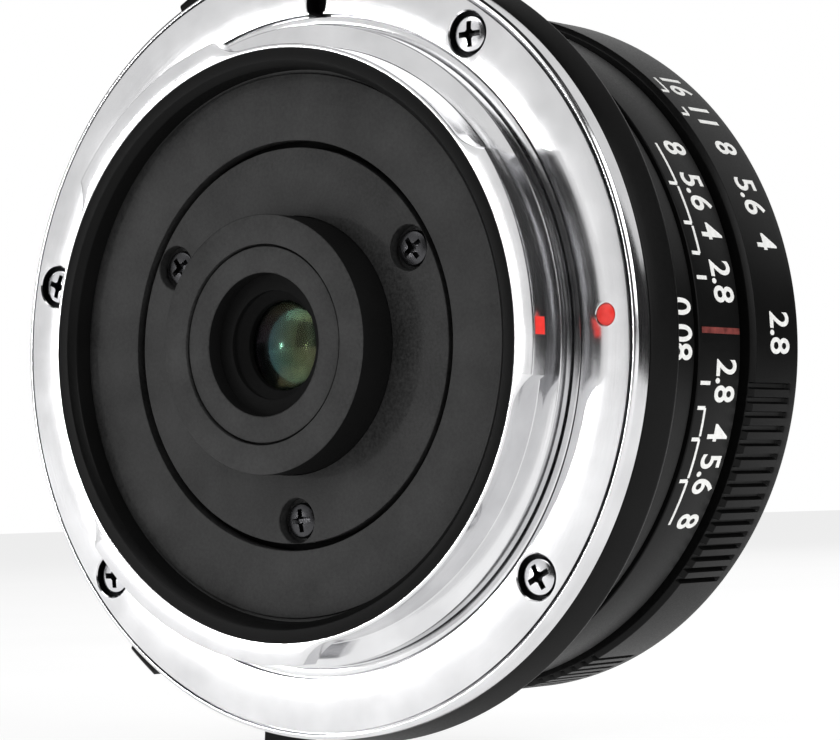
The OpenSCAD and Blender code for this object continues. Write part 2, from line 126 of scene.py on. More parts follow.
SHARP_ANGLE = 28            # edges that turn by more than this many degrees stay sharp
CORNER_STEPS = 3            # faces round a corner
BORE_MOUTH = 0.5            # how far a cutter stands clear of the face that it cuts


def at(r, angle, h=0.0):
    """Bench frame moved to a radius, an angle and a height, as a screw on its circle stands."""
    return POSED @ Matrix.Rotation(math.radians(angle), 4, "Z") @ Matrix.Translation((r, 0, h))


def outward(angle, h):
    """Frame whose Z axis runs outwards from the optical axis."""
    return at(0, angle, h) @ Matrix.Rotation(math.radians(90), 4, "Y")


def inward(angle, h, r):
    """Frame that stands on a cylinder's surface, with its Z axis towards the optical axis."""
    return outward(angle, h) @ Matrix.Translation((0, 0, r)) @ Matrix.Rotation(math.pi, 4, "X")


def around(steps=288, start=0.0, end=360.0):
    """Even angles about the axis. A whole turn leaves out its last angle, and an arc keeps it."""
    whole = end - start >= 360
    return [start + (end - start) * i / steps for i in range(steps if whole else steps + 1)]


def rounded(outline):
    """A closed outline with its corners rounded. The third value of a point is the size of its corner."""
    points = []
    for i, (x, y, size) in enumerate(outline):
        corner = Vector((x, y))
        before = Vector(outline[i - 1][:2]) - corner
        after = Vector(outline[(i + 1) % len(outline)][:2]) - corner
        start = corner + before.normalized() * min(size, before.length * 0.45)
        end = corner + after.normalized() * min(size, after.length * 0.45)
        if size == 0:
            points.append(tuple(corner))
            continue
        for k in range(CORNER_STEPS + 1):
            t = k / CORNER_STEPS
            points.append(tuple(start * (1 - t) ** 2 + corner * 2 * t * (1 - t) + end * t * t))
    return points


def turn(bm, outline, angles=None, matrix=POSED):
    """Adds a closed outline of (radius, height) turned about the Z axis of a frame, with flat ends on
    an arc. The outline may be a function of the angle that always gives the same number of points."""
    angles = angles or around()
    whole = angles[0] + 360 - angles[-1] < 12
    rows = []
    for angle in angles:
        points = outline(angle) if callable(outline) else outline
        c, s = math.cos(math.radians(angle)), math.sin(math.radians(angle))
        rows.append([bm.verts.new(matrix @ Vector((r * c, r * s, h))) for r, h in points])
    following = rows[1:] + rows[:1] if whole else rows[1:]
    for row, after in zip(rows, following):
        for i in range(len(row)):
            j = (i + 1) % len(row)
            bm.faces.new((row[i], row[j], after[j], after[i]))
    if not whole:
        bm.faces.new(rows[0])
        bm.faces.new(rows[-1])


def prism(bm, outline, low, high, matrix, taper=1.0):
    """Adds a closed solid on an XY outline between two heights, scaled by taper at the high end."""
    bottom = [bm.verts.new(matrix @ Vector((x, y, low))) for x, y in outline]
    top = [bm.verts.new(matrix @ Vector((x * taper, y * taper, high))) for x, y in outline]
    bm.faces.new(bottom)
    bm.faces.new(top)
    for i in range(len(outline)):
        j = (i + 1) % len(outline)
        bm.faces.new((bottom[i], bottom[j], top[j], top[i]))


def mesh_of(bm, name):
    """Closes a bmesh into a mesh with its doubled points merged and its normals outwards."""
    bmesh.ops.remove_doubles(bm, verts=bm.verts, dist=1e-7)
    bmesh.ops.dissolve_degenerate(bm, edges=bm.edges, dist=1e-8)
    bmesh.ops.recalc_face_normals(bm, faces=bm.faces)
    mesh = bpy.data.meshes.new(name)
    bm.to_mesh(mesh)
    bm.free()
    return mesh


def shade(mesh):
    """Smooth shading, with the edges over SHARP_ANGLE kept sharp."""
    mesh.polygons.foreach_set("use_smooth", [True] * len(mesh.polygons))
    mesh.set_sharp_from_angle(angle=math.radians(SHARP_ANGLE))


def add_piece(name, bm, body, material, replaces=(), cutters=None):
    """Makes a piece from a bmesh, less the solids of a second one, and lets it ride on a CAD body."""
    piece = bpy.data.objects.new(name, mesh_of(bm, name))
    bpy.context.scene.collection.objects.link(piece)
    if cutters is not None:
        cut(piece, cutters)
    piece.data.materials.clear()
    piece.data.materials.append(material)
    shade(piece.data)
    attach(piece, body)
    if replaces:
        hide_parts(*replaces)
    return piece


def line_faces(piece, material, inside):
    """Gives a second material to the faces that pass a test of their place in the bench frame, and of how
    far they face along the optical axis, from 0 on a wall to 1 on an end face."""
    piece.data.materials.append(material)
    for face in piece.data.polygons:
        x, h, y = face.center.x / MM, -face.center.y / MM, face.center.z / MM
        if inside(x, y, h, abs(face.normal.y)):
            face.material_index = 1


def cut(piece, cutters):
    """Takes the solids of a bmesh out of a piece."""
    tool = bpy.data.objects.new("cutter", mesh_of(cutters, "cutter"))
    bpy.context.scene.collection.objects.link(tool)
    boolean = piece.modifiers.new("cut", "BOOLEAN")
    boolean.operation = "DIFFERENCE"
    boolean.solver = "EXACT"
    boolean.object = tool
    bpy.context.view_layer.update()
    result = bpy.data.meshes.new_from_object(piece.evaluated_get(bpy.context.evaluated_depsgraph_get()))
    piece.modifiers.clear()
    piece.data = result
    bpy.data.objects.remove(tool)


# ---- material tools ----

def node(tree, kind, inputs=None, **settings):
    """Adds a shader node. Inputs maps socket names or numbers to values or to output sockets."""
    made = tree.nodes.new("ShaderNode" + kind)
    for key, value in settings.items():
        setattr(made, key, value)
    for key, value in (inputs or {}).items():
        if isinstance(value, bpy.types.NodeSocket):
            tree.links.new(value, made.inputs[key])
        else:
            made.inputs[key].default_value = value
    return made


def start_material(name, **sockets):
    """A new node material and its shader, with values set on the shader's own sockets."""
    material = bpy.data.materials.new(name)
    material.use_nodes = True
    shader = material.node_tree.nodes["Principled BSDF"]
    for key, value in sockets.items():
        shader.inputs[key.replace("_", " ")].default_value = value
    return material, material.node_tree, shader


def place_of(tree):
    """Coordinates in the row frame, in metres."""
    return node(tree, "TexCoord").outputs["Object"]


def turned_place(tree, across, along):
    """Coordinates that follow lathe marks: fine across the marks, per millimetre, and long along them."""
    axes = node(tree, "SeparateXYZ", {0: place_of(tree)}).outputs
    flat = node(tree, "CombineXYZ", {"X": axes["X"], "Y": axes["Z"]}).outputs[0]
    radius = node(tree, "VectorMath", {0: flat}, operation="LENGTH").outputs["Value"]
    angle = node(tree, "Math", {0: axes["Z"], 1: axes["X"]}, operation="ARCTAN2").outputs[0]
    fine = node(tree, "Math", {0: radius, 1: across / MM}, operation="MULTIPLY").outputs[0]
    deep = node(tree, "Math", {0: axes["Y"], 1: across / MM}, operation="MULTIPLY").outputs[0]
    long = node(tree, "Math", {0: angle, 1: along}, operation="MULTIPLY").outputs[0]
    return node(tree, "CombineXYZ", {"X": fine, "Y": deep, "Z": long}).outputs[0]


def noise(tree, vector, scale, detail=2.0, rough=0.5):
    made = node(tree, "TexNoise", {"Vector": vector, "Scale": scale, "Detail": detail, "Roughness": rough})
    return made.outputs["Fac"]


def spread(tree, value, low, high, start=0.3, end=0.7):
    """Maps a noise value between two numbers."""
    return node(tree, "MapRange", {"Value": value, "From Min": start, "From Max": end,
                                   "To Min": low, "To Max": high}).outputs["Result"]


def tint(tree, value, dark, light):
    """Maps a noise value between two colours."""
    ramp = node(tree, "ValToRGB", {"Fac": value})
    ramp.color_ramp.elements[0].position = 0.3
    ramp.color_ramp.elements[1].position = 0.7
    ramp.color_ramp.elements[0].color = (*dark, 1)
    ramp.color_ramp.elements[1].color = (*light, 1)
    return ramp.outputs["Color"]


def relief(tree, value, depth, under=None):
    """Bump from a value, with its depth in millimetres, over another bump."""
    inputs = {"Height": value, "Distance": depth * MM, "Strength": 1.0}
    if under is not None:
        inputs["Normal"] = under
    return node(tree, "Bump", inputs).outputs["Normal"]


def turned_metal(name, dark, light, rough, mark=0.004, across=14.0, anisotropy=0.0):
    """Metal off the lathe: fine marks round the axis, with a little cloudiness and a few scratches."""
    material, tree, shader = start_material(name, Metallic=1.0, Anisotropic=anisotropy)
    marks = noise(tree, turned_place(tree, across, 1.5), 1.0, 4.0, 0.65)
    clouds = noise(tree, place_of(tree), 260.0, 3.0)
    scratches = noise(tree, turned_place(tree, 5.0, 0.6), 1.0, 2.0)
    tree.links.new(tint(tree, clouds, dark, light), shader.inputs["Base Color"])
    gloss = node(tree, "Math", {0: spread(tree, marks, *rough), 1: spread(tree, clouds, -0.02, 0.03)},
                 operation="ADD").outputs[0]
    tree.links.new(gloss, shader.inputs["Roughness"])
    wide = relief(tree, scratches, mark * 0.8)
    tree.links.new(relief(tree, marks, mark, wide), shader.inputs["Normal"])
    if anisotropy:
        tangent = node(tree, "Tangent", direction_type="RADIAL", axis="Y")
        tree.links.new(tangent.outputs[0], shader.inputs["Tangent"])
    return material


def blasted_black(name, dark, light, rough, grain, depth, level):
    """Anodised aluminium that was blasted first: an even fine grain over faint lathe marks."""
    material, tree, shader = start_material(name, Specular_IOR_Level=level)
    fine = noise(tree, place_of(tree), grain, 3.0, 0.6)
    clouds = noise(tree, place_of(tree), 320.0, 4.0)
    marks = noise(tree, turned_place(tree, 9.0, 1.2), 1.0, 3.0)
    both = node(tree, "Mix", {"Factor": 0.4, 2: fine, 3: clouds}, data_type="FLOAT").outputs[0]
    tree.links.new(tint(tree, both, dark, light), shader.inputs["Base Color"])
    tree.links.new(spread(tree, fine, *rough), shader.inputs["Roughness"])
    under = relief(tree, marks, depth * 0.4)
    tree.links.new(relief(tree, fine, depth, under), shader.inputs["Normal"])
    return material


def paint(name, dark, light, rough):
    """Paint filled into an engraving: slightly uneven in colour, gloss and level."""
    material, tree, shader = start_material(name, Specular_IOR_Level=0.5)
    uneven = noise(tree, place_of(tree), 2600.0, 3.0)
    tree.links.new(tint(tree, uneven, dark, light), shader.inputs["Base Color"])
    tree.links.new(spread(tree, uneven, *rough), shader.inputs["Roughness"])
    tree.links.new(relief(tree, uneven, 0.006), shader.inputs["Normal"])
    return material


def coated_glass(name, color, film, ior, level, haze=0.0, coat=0.0):
    """Clear optical glass with a thin coating that colours its reflections, and a trace of dust."""
    material, tree, shader = start_material(name, Base_Color=(*color, 1), Transmission_Weight=1.0, IOR=ior,
                                            Thin_Film_Thickness=film, Thin_Film_IOR=1.38,
                                            Specular_IOR_Level=level, Coat_Weight=coat, Coat_Roughness=0.3)
    dust = noise(tree, place_of(tree), 1500.0, 5.0, 0.7)
    tree.links.new(spread(tree, dust, haze, haze + 0.05, 0.55, 0.85), shader.inputs["Roughness"])
    smears = noise(tree, place_of(tree), 160.0, 2.0)
    tree.links.new(relief(tree, smears, 0.01), shader.inputs["Normal"])
    return material


chrome = turned_metal("mount_chrome", (0.66, 0.66, 0.67), (0.78, 0.78, 0.79), (0.11, 0.20), 0.0010, 14.0, 0.3)
steel = turned_metal("screw_steel", (0.62, 0.62, 0.64), (0.82, 0.82, 0.84), (0.12, 0.22), 0.002)
# The dark screw steel is also laid into the flange's counterbores, pin slot and screw recesses as painted
# shade.
black_steel_and_shade = turned_metal("screw_black", (0.035, 0.035, 0.037), (0.09, 0.09, 0.095), (0.22, 0.36), 0.004)
alloy = turned_metal("inner_alloy", (0.34, 0.35, 0.37), (0.46, 0.47, 0.49), (0.26, 0.40))
brass = turned_metal("turned_brass", (0.55, 0.38, 0.14), (0.72, 0.54, 0.24), (0.22, 0.36))
blade_steel = turned_metal("blade_steel", (0.05, 0.05, 0.055), (0.11, 0.11, 0.12), (0.30, 0.45), 0.003, 5.0)
baffle_black = blasted_black("baffle_black", (0.007, 0.007, 0.007), (0.046, 0.046, 0.046), (0.38, 0.58),
                             5200.0, 0.012, 0.25)
barrel_black = blasted_black("barrel_black", (0.0016, 0.0016, 0.0016), (0.0040, 0.0040, 0.0040), (0.32, 0.44),
                             8000.0, 0.003, 0.11)
# The inner black is also laid on the bore walls of the rear cell and its retainer as painted shade.
inner_black_and_shade = blasted_black("inner_black_and_shade", (0.002, 0.002, 0.002), (0.005, 0.005, 0.005), (0.60, 0.80),
                            6000.0, 0.006, 0.12)
white_paint = paint("scale_white", (0.78, 0.78, 0.76), (0.92, 0.92, 0.90), (0.35, 0.55))
red_paint = paint("index_red", (0.84, 0.030, 0.022), (0.95, 0.048, 0.036), (0.30, 0.44))
dull_red_paint = paint("index_line_red", (0.10, 0.014, 0.011), (0.24, 0.040, 0.032), (0.40, 0.60))
rear_glass = coated_glass("rear_glass", (0.30, 0.44, 0.37), 420.0, 1.5, 0.12, 0.13, 0.25)
inner_glass = coated_glass("inner_glass", (0.42, 0.56, 0.50), 0.0, 1.5, 0.03)
front_glass = coated_glass("front_glass", (0.86, 0.94, 0.91), 460.0, 1.6, 0.14)


# ---- finishes of the CAD nodes that stay ----

FINISHES = {
    "mount_shim": brass, "fixed_barrel": inner_black_and_shade, "guide_keys": brass, "guide_key_screws": steel,
    "helicoid_retainer": alloy, "helicoid_sleeve": brass, "head_barrel": inner_black_and_shade,
    "rear_spacer": inner_black_and_shade, "doublet_flint": inner_glass, "doublet_crown": inner_glass,
    "mid_spacer": inner_black_and_shade, "mid_element": inner_glass, "rear_group_retainer": inner_black_and_shade,
    "iris_base": inner_black_and_shade, "third_element": inner_glass, "front_spacer": inner_black_and_shade,
    "second_element": inner_glass, "front_inner_retainer": inner_black_and_shade, "front_housing": inner_black_and_shade,
    "aperture_lever": steel, "aperture_lever_screws": steel, "iris_actuator": alloy,
    **{f"iris_blade_{i}": blade_steel for i in range(1, 8)},
}
for name, finish in FINISHES.items():
    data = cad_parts[name].data
    data.materials.clear()
    data.materials.append(finish)


# ---- bayonet flange ----

LUG_DEPTH = LUG_R - TUBE_R
RUNOUT = math.sqrt(2 * RUNOUT_R * LUG_DEPTH - LUG_DEPTH ** 2)
RUNOUT_ANGLE = math.degrees(RUNOUT / TUBE_R)


def lug_depth(angle):
    """How far the lug ring stands out of the tube: full on a lug, and hollow curves past its ends."""
    past = min(max(start - angle, angle - end, 0) for start, end in LUG_SPANS)
    left = RUNOUT - math.radians(past) * TUBE_R
    if left <= 0:
        return 0.0
    return RUNOUT_R - math.sqrt(RUNOUT_R ** 2 - left ** 2)


def flange_outline(angle):
    lug_r = TUBE_R + lug_depth(angle)
    return rounded([
        (BORE_R, FLANGE_END, 0.06), (lug_r, FLANGE_END, 0.10), (lug_r, LUG_FRONT, 0.06),
        (TUBE_R, LUG_FRONT, 0), (TUBE_R, -1.0, 0.10), (COLLAR_R, -1.0, 0.10), (COLLAR_R, GROOVE_DEPTH, 0.02),
        (COLLAR_R + 0.11, GROOVE_DEPTH, 0.02), (COLLAR_R + 0.14, 0.12, 0.04), (20.55, 0.12, 0.04),
        (20.58, GROOVE_DEPTH, 0.02), (20.68, GROOVE_DEPTH, 0.02), (20.72, 0, 0.04), (FACE_R - 0.02, 0, 0.05),
        (FACE_R, GROOVE_DEPTH, 0.02), (FACE_R + 0.11, GROOVE_DEPTH, 0.02), (FACE_R + 0.15, 0.08, 0.04),
        (FLANGE_R - 0.16, 0.08, 0.06), (FLANGE_R, 0.26, 0.05), (FLANGE_R, FLANGE_FRONT - 0.1, 0.06),
        (FLANGE_R - 0.1, FLANGE_FRONT, 0.04), (18.35, FLANGE_FRONT, 0), (18.35, 0.9, 0), (BORE_R, 0.9, 0),
    ])


def lug_angles():
    """Even angles, with more of them on the curves past the lugs' ends."""
    ends = [end for span in LUG_SPANS for end in ((span[0], -1), (span[1], 1))]
    curve = [edge + side * RUNOUT_ANGLE * k / 12 for edge, side in ends for k in range(13)]
    corners = [edge - side * 0.05 for edge, side in ends]
    return sorted(set(around() + curve + corners))


def slot_outline(r0, r1, half):
    """Straight slot with round ends, along X between two radii."""
    left = [(r0 + half * math.cos(math.radians(a)), half * math.sin(math.radians(a)))
            for a in range(90, 271, 15)]
    right = [(r1 + half * math.cos(math.radians(a)), half * math.sin(math.radians(a)))
             for a in range(-90, 91, 15)]
    return left + right


def bore_outline(radius, depth, mouth=0.07):
    """Half section of a blind bore with a broken edge, standing on height 0 and open below it."""
    return [(0, -BORE_MOUTH), (radius + mouth, -BORE_MOUTH), (radius + mouth, 0), (radius, mouth),
            (radius, depth), (0, depth)]


flange = bmesh.new()
turn(flange, flange_outline, lug_angles())
flange_cuts = bmesh.new()
FLANGE_SCREWS = ((13.6, 8), (126.0, 54), (220.8, 22), (320.7, 40))
for angle, _ in FLANGE_SCREWS:
    turn(flange_cuts, bore_outline(SCREW_BORE_R, SCREW_BORE_DEPTH), around(72), at(SCREW_CIRCLE_R, angle))
prism(flange_cuts, slot_outline(*PIN_SLOT_RADII, PIN_SLOT_HALF), -0.5, PIN_SLOT_DEPTH, at(0, PIN_SLOT_ANGLE))
INDEX_R, INDEX_ANGLE, DOT_R = 22.4, 178.6, 0.64
turn(flange_cuts, bore_outline(DOT_R + 0.02, 0.5, 0.04), around(48), at(INDEX_R, INDEX_ANGLE))
flange_shell = add_piece("mount_flange_shell", flange, "root", chrome, ["mount_flange"],
                         flange_cuts)


def off_screw(x, y):
    """Distance of a point of the flange from the axis of its nearest screw."""
    angles = [math.radians(angle) for angle, _ in FLANGE_SCREWS]
    return min(math.hypot(x - SCREW_CIRCLE_R * math.cos(a), y - SCREW_CIRCLE_R * math.sin(a)) for a in angles)


def in_recess(x, y, h, _):
    """True inside a screw's counterbore or the pin slot of the flange, whose faces are painted dark there as
    shade.
    """
    if off_screw(x, y) < SCREW_BORE_R + 0.01:
        return h > 0.08
    a = math.radians(PIN_SLOT_ANGLE)
    along, aside = x * math.cos(a) + y * math.sin(a), y * math.cos(a) - x * math.sin(a)
    reach_in, reach_out = PIN_SLOT_RADII[0] - PIN_SLOT_HALF - 0.05, PIN_SLOT_RADII[1] + PIN_SLOT_HALF + 0.05
    return h > 0.08 and reach_in < along < reach_out and abs(aside) < PIN_SLOT_HALF + 0.02


# Painted shade: the walls and floors of the flange's screw counterbores and pin slot take the dark screw
# steel instead of chrome.
line_faces(flange_shell, black_steel_and_shade, in_recess)


# ---- screws ----

HEAD_DOME = 0.12            # height of the dome of a cross-head screw


def cross_outline(length, width, fillet):
    """Outline of a driver's cross, with its inner corners cut off by a fillet."""
    arm, half, inner = length / 2, width / 2, width / 2 + fillet
    quarter = [(arm, -half), (arm, half), (inner, half), (half, inner)]
    points = []
    for k in range(4):
        c, s = (1, 0, -1, 0)[k], (0, 1, 0, -1)[k]
        points += [(x * c - y * s, x * s + y * c) for x, y in quarter]
    return points


def cross_screw(bm, cuts, matrix, head_r, rear, front, shank_r, end, cross):
    """A cross-head screw along Z with its domed head at the rear, and the recess to cut out of it."""
    turn(bm, rounded([
        (0, rear, 0), (head_r * 0.55, rear + HEAD_DOME * 0.25, 0.2), (head_r - 0.04, rear + HEAD_DOME, 0.10),
        (head_r, front, 0.03), (shank_r, front, 0), (shank_r, end, 0.1), (0, end, 0),
    ]), around(72), matrix)
    driver = matrix @ Matrix.Rotation(math.radians(cross), 4, "Z")
    prism(cuts, cross_outline(head_r * 1.46, head_r * 0.33, head_r * 0.10), rear - 0.1,
          rear + (front - rear) * 0.95, driver, 0.62)


flange_screws, recesses = bmesh.new(), bmesh.new()
for angle, cross in FLANGE_SCREWS:
    cross_screw(flange_screws, recesses, at(SCREW_CIRCLE_R, angle), 1.16, 0.16, 0.92, 0.8, 3.0, cross)
screw_set = add_piece("mount_screw_set", flange_screws, "root", steel, ["mount_screws"],
                      recesses)
# Painted shade: the faces inside each flange screw's cross recess take the dark screw steel.
line_faces(screw_set, black_steel_and_shade, lambda x, y, h, facing: off_screw(x, y) < 1.0 and 0.28 < h < 0.91)

cover_screws, recesses = bmesh.new(), bmesh.new()
COVER_SCREWS = ((30.5, 25), (150.5, 85), (269.5, 85))
for angle, cross in COVER_SCREWS:
    cross_screw(cover_screws, recesses, at(COVER_SCREW_CIRCLE_R, angle), 1.12, -1.35, -0.9, 0.6, 2.6, cross)
add_piece("rear_cover_screw_set", cover_screws, "lens_head", black_steel_and_shade,
          ["rear_cover_screws"], recesses)


# ---- index dot and lug mark ----

dot = bmesh.new()
turn(dot, rounded([(0, -0.05, 0), (0.45, -0.03, 0.2), (DOT_R, 0.06, 0.05), (DOT_R, 0.5, 0), (0, 0.5, 0)]),
     around(48), at(INDEX_R, INDEX_ANGLE))
add_piece("mount_index_bead", dot, "root", red_paint, ["mount_index_dot"])


def wrapped_patch(bm, radius, angles, low, high, proud=0.03):
    """A thin closed patch on a cylinder, for a painted mark."""
    steps = max(2, int(abs(angles[1] - angles[0]) / 0.75))
    outline = [(radius - 0.02, low), (radius + proud, low), (radius + proud, high), (radius - 0.02, high)]
    turn(bm, outline, around(steps, *angles))


lug_mark = bmesh.new()
wrapped_patch(lug_mark, LUG_R, (178.5, 181.5), -3.22, -2.32)
add_piece("lug_index_mark", lug_mark, "root", red_paint)


# ---- rear baffle, cover and cell ----

baffle_rim = bmesh.new()
turn(baffle_rim, rounded([
    (17.5, FLANGE_END, 0.08), (BORE_R - 0.01, FLANGE_END + 0.04, 0.06), (BORE_R - 0.01, 0.9, 0),
    (18.3, 0.9, 0), (18.3, 1.65, 0), (17.1, 1.65, 0), (17.1, FLANGE_END + 0.45, 0.08),
]))
rim = add_piece("rear_baffle_rim", baffle_rim, "root", barrel_black, ["rear_baffle"])
line_faces(rim, inner_black_and_shade, lambda x, y, h, facing: math.hypot(x, y) < 17.2 and facing < 0.5)

baffle = bmesh.new()
turn(baffle, rounded([
    (17.08, -0.95, 0), (12.7, -0.95, 0.03), (12.7, -1.85, 0.07), (16.84, -1.85, 0.03), (16.88, -1.70, 0.02),
    (16.98, -1.70, 0.02), (17.08, -1.72, 0),
]))
add_piece("rear_baffle_plate", baffle, "root", baffle_black)

cover, cover_cuts = bmesh.new(), bmesh.new()
turn(cover, rounded([
    (CELL_R + 0.05, COVER_END, 0.02), (COVER_R, COVER_END, 0.08), (COVER_R, COVER_FRONT, 0.03),
    (CELL_R + 0.05, COVER_FRONT, 0),
]))
for angle, _ in COVER_SCREWS:
    matrix = at(COVER_SCREW_CIRCLE_R, angle, COVER_END)
    turn(cover_cuts, bore_outline(COVER_BORE_R, 0.8, 0.05), around(72), matrix)
add_piece("rear_cover_disc", cover, "lens_head", baffle_black, ["rear_cover"], cover_cuts)

cell = bmesh.new()
turn(cell, rounded([
    (3.6, -2.9, 0.05), (2.8, -2.35, 0.06), (2.8, -1.95, 0.03), (3.2, -1.95, 0), (3.2, 0.4, 0), (4.4, 0.4, 0),
    (4.4, 9.1, 0), (4.8, 9.1, 0), (4.8, 9.85, 0), (10.0, 9.85, 0), (10.0, 8.9, 0), (CELL_R, 8.9, 0),
    (CELL_R, CELL_END, 0.13), (SEAT_R + 0.02, CELL_END, 0.06), (SEAT_R + 0.02, -2.9, 0),
]))
cell_body = add_piece("rear_cell_body", cell, "lens_head", baffle_black, ["rear_cell"])
# Painted shade: the bore and funnel inside the cell take the darker inner black; the cell's outer side wall
# takes it too.
line_faces(cell_body, inner_black_and_shade, lambda x, y, h, facing:
           math.hypot(x, y) < 5 or (math.hypot(x, y) > CELL_R - 0.05 and facing < 0.5))

retainer = bmesh.new()
turn(retainer, rounded([
    (RETAINER_BORE_R, RETAINER_END, 0.14), (SEAT_R - 0.12, RETAINER_END, 0.06),
    (SEAT_R - 0.10, RETAINER_END + 0.3, 0.03), (SEAT_R, RETAINER_END + 0.34, 0.02),
    (SEAT_R, RETAINER_FRONT, 0), (RETAINER_BORE_R, RETAINER_FRONT, 0),
]))
retainer_ring = add_piece("rear_retainer_ring", retainer, "lens_head", baffle_black,
                          ["rear_retainer"])
# Painted shade: the retainer's bore wall takes the darker inner black.
line_faces(retainer_ring, inner_black_and_shade, lambda x, y, h, facing: math.hypot(x, y) < 5 and facing < 0.5)

mask = bmesh.new()
turn(mask, rounded([(MASK_HOLE_R, -3.28, 0.05), (SEAT_R - 0.05, -3.28, 0), (SEAT_R - 0.05, -2.92, 0),
                    (MASK_HOLE_R, -2.92, 0.05)]))
add_piece("rear_mask_ring", mask, "lens_head", inner_black_and_shade, ["rear_mask"])


# ---- end glasses ----

def dome(radius, pole_h, side, r0, r1, steps=28):
    """Points along a spherical face between two radii. Side 1 curves down from its pole, -1 up."""
    centre = pole_h - side * radius
    radii = [r0 + (r1 - r0) * i / steps for i in range(steps + 1)]
    return [(r, centre + side * math.sqrt(radius ** 2 - r * r)) for r in radii]


rear_lens = bmesh.new()
turn(rear_lens, dome(6.0, -2.6, -1, 0, 3.19) + dome(9.0, 0.6, 1, 3.19, 0), around(128))
add_piece("rear_element_glass", rear_lens, "lens_head", rear_glass, ["rear_element"])

front_lens = bmesh.new()
hollow_r, seat_h = 9.5, 18.0
hollow_pole = GLASS_POLE - 2.2
hollow_edge = math.sqrt(hollow_r ** 2 - (seat_h - hollow_pole + hollow_r) ** 2)
turn(front_lens, dome(24.0, GLASS_POLE, 1, 0, GLASS_R - 0.02, 48) + [(GLASS_R - 0.02, seat_h + 0.02)]
     + dome(hollow_r, hollow_pole, 1, hollow_edge, 0, 36), around(256))
add_piece("front_element_glass", front_lens, "lens_head", front_glass, ["front_element"])


# ---- barrel rings ----

GRIP_ANGLES = [281 + 29 * i for i in range(6)]
GRIP_HALF = 3.0             # half width of a grip block at its foot, in degrees
GRIP_SLOPE = 0.25


def grip_share(angle):
    """1 on a grip block of the focus ring and 0 between them."""
    off = min(abs((angle - middle + 180) % 360 - 180) for middle in GRIP_ANGLES)
    return min(1.0, max(0.0, (GRIP_HALF - off) / GRIP_SLOPE))


def focus_outline(angle):
    """The focus ring's section: a conical collar, or a grip block, then a slope to the distance band."""
    share = grip_share(angle)
    collar = [(24.0, 1.76, 0.05), (24.35, 1.76, 0.08), (24.62, 2.55, 0.06), (COLLAR_TOP_R, 3.68, 0.10),
              (COLLAR_TOP_R - 0.1, 3.95, 0.08)]
    block = [(24.0, 1.76, 0.05), (25.78, 1.9, 0.10), (25.98, 2.12, 0.06), (25.98, 3.6, 0.10),
             (25.7, 3.86, 0.08)]
    edge = [tuple(a + (b - a) * share for a, b in zip(p, q)) for p, q in zip(collar, block)]
    return rounded(edge + [
        (DISTANCE_R + 0.8, 4.5, 0.2), (DISTANCE_R, 5.1, 0.15), (DISTANCE_R, 10.32, 0.10),
        (DISTANCE_R - 0.12, 10.48, 0.05), (BARREL_R, 10.5, 0), (BARREL_R, 3.25, 0), (24.0, 3.25, 0),
    ])


def grip_angles():
    edges = [middle + side * (GRIP_HALF - inset) for middle in GRIP_ANGLES for side in (-1, 1)
             for inset in (0, 0.12, GRIP_SLOPE)]
    return sorted(set(around() + [edge % 360 for edge in edges]))


focus = bmesh.new()
turn(focus, focus_outline, grip_angles())
focus_cuts = bmesh.new()
DRIVE_ANGLES, DRIVE_H = (20, 140, 260), 6.6
for angle in DRIVE_ANGLES:
    turn(focus_cuts, bore_outline(1.55, 0.85, 0.06), around(64), inward(angle, DRIVE_H, DISTANCE_R))
add_piece("focus_ring_shell", focus, "focus", barrel_black, ["focus_ring"], focus_cuts)

drive, drive_cuts = bmesh.new(), bmesh.new()
for angle in DRIVE_ANGLES:
    matrix = outward(angle, DRIVE_H)
    turn(drive, rounded([(0, 13.6, 0), (0.9, 13.6, 0.1), (0.9, 20.67, 0), (1.45, 20.67, 0.04),
                         (1.45, 21.28, 0.12), (0, 21.32, 0)]), around(64), matrix)
    half = 0.16
    slot = [(-half, -1.6), (half, -1.6), (half, 1.6), (-half, 1.6)]
    prism(drive_cuts, slot, 20.95, 22.0, matrix)
add_piece("focus_drive_screw_set", drive, "focus", steel, ["focus_drive_screws"], drive_cuts)

depth, depth_cuts = bmesh.new(), bmesh.new()
turn(depth, rounded([
    (BARREL_R, DEPTH_REAR, 0), (DEPTH_R, DEPTH_REAR, 0.16), (DEPTH_R, DEPTH_FRONT - 0.02, 0.16),
    (DEPTH_LIP[0] - 0.1, DEPTH_FRONT, 0.02), (DEPTH_LIP[0] - 0.1, DEPTH_FRONT + 0.08, 0.02),
    (DEPTH_LIP[0], DEPTH_FRONT + 0.09, 0.04), (DEPTH_LIP[0], DEPTH_LIP[1], 0.08), (BARREL_R, DEPTH_LIP[1], 0),
]))
SET_SCREWS, SET_SCREW_H, SET_SCREW_R = (0, 60, 300), 13.0, 0.7
for angle in SET_SCREWS:
    turn(depth_cuts, bore_outline(SET_SCREW_R, 1.2, 0.05), around(48), inward(angle, SET_SCREW_H, DEPTH_R))
add_piece("depth_scale_band", depth, "root", barrel_black, ["depth_scale_ring"], depth_cuts)

set_screws, set_cuts = bmesh.new(), bmesh.new()
hexagon = [(0.34 * math.cos(math.radians(a)), 0.34 * math.sin(math.radians(a))) for a in range(0, 360, 60)]
for angle in SET_SCREWS:
    matrix = outward(angle, SET_SCREW_H)
    turn(set_screws, rounded([(0, 18.6, 0), (0.68, 18.6, 0.1), (0.68, 21.66, 0.1), (0, 21.66, 0)]),
         around(48), matrix)
    prism(set_cuts, hexagon, 20.9, 22.0, matrix)
add_piece("scale_ring_screw_set", set_screws, "root", black_steel_and_shade, ["scale_ring_screws"],
          set_cuts)

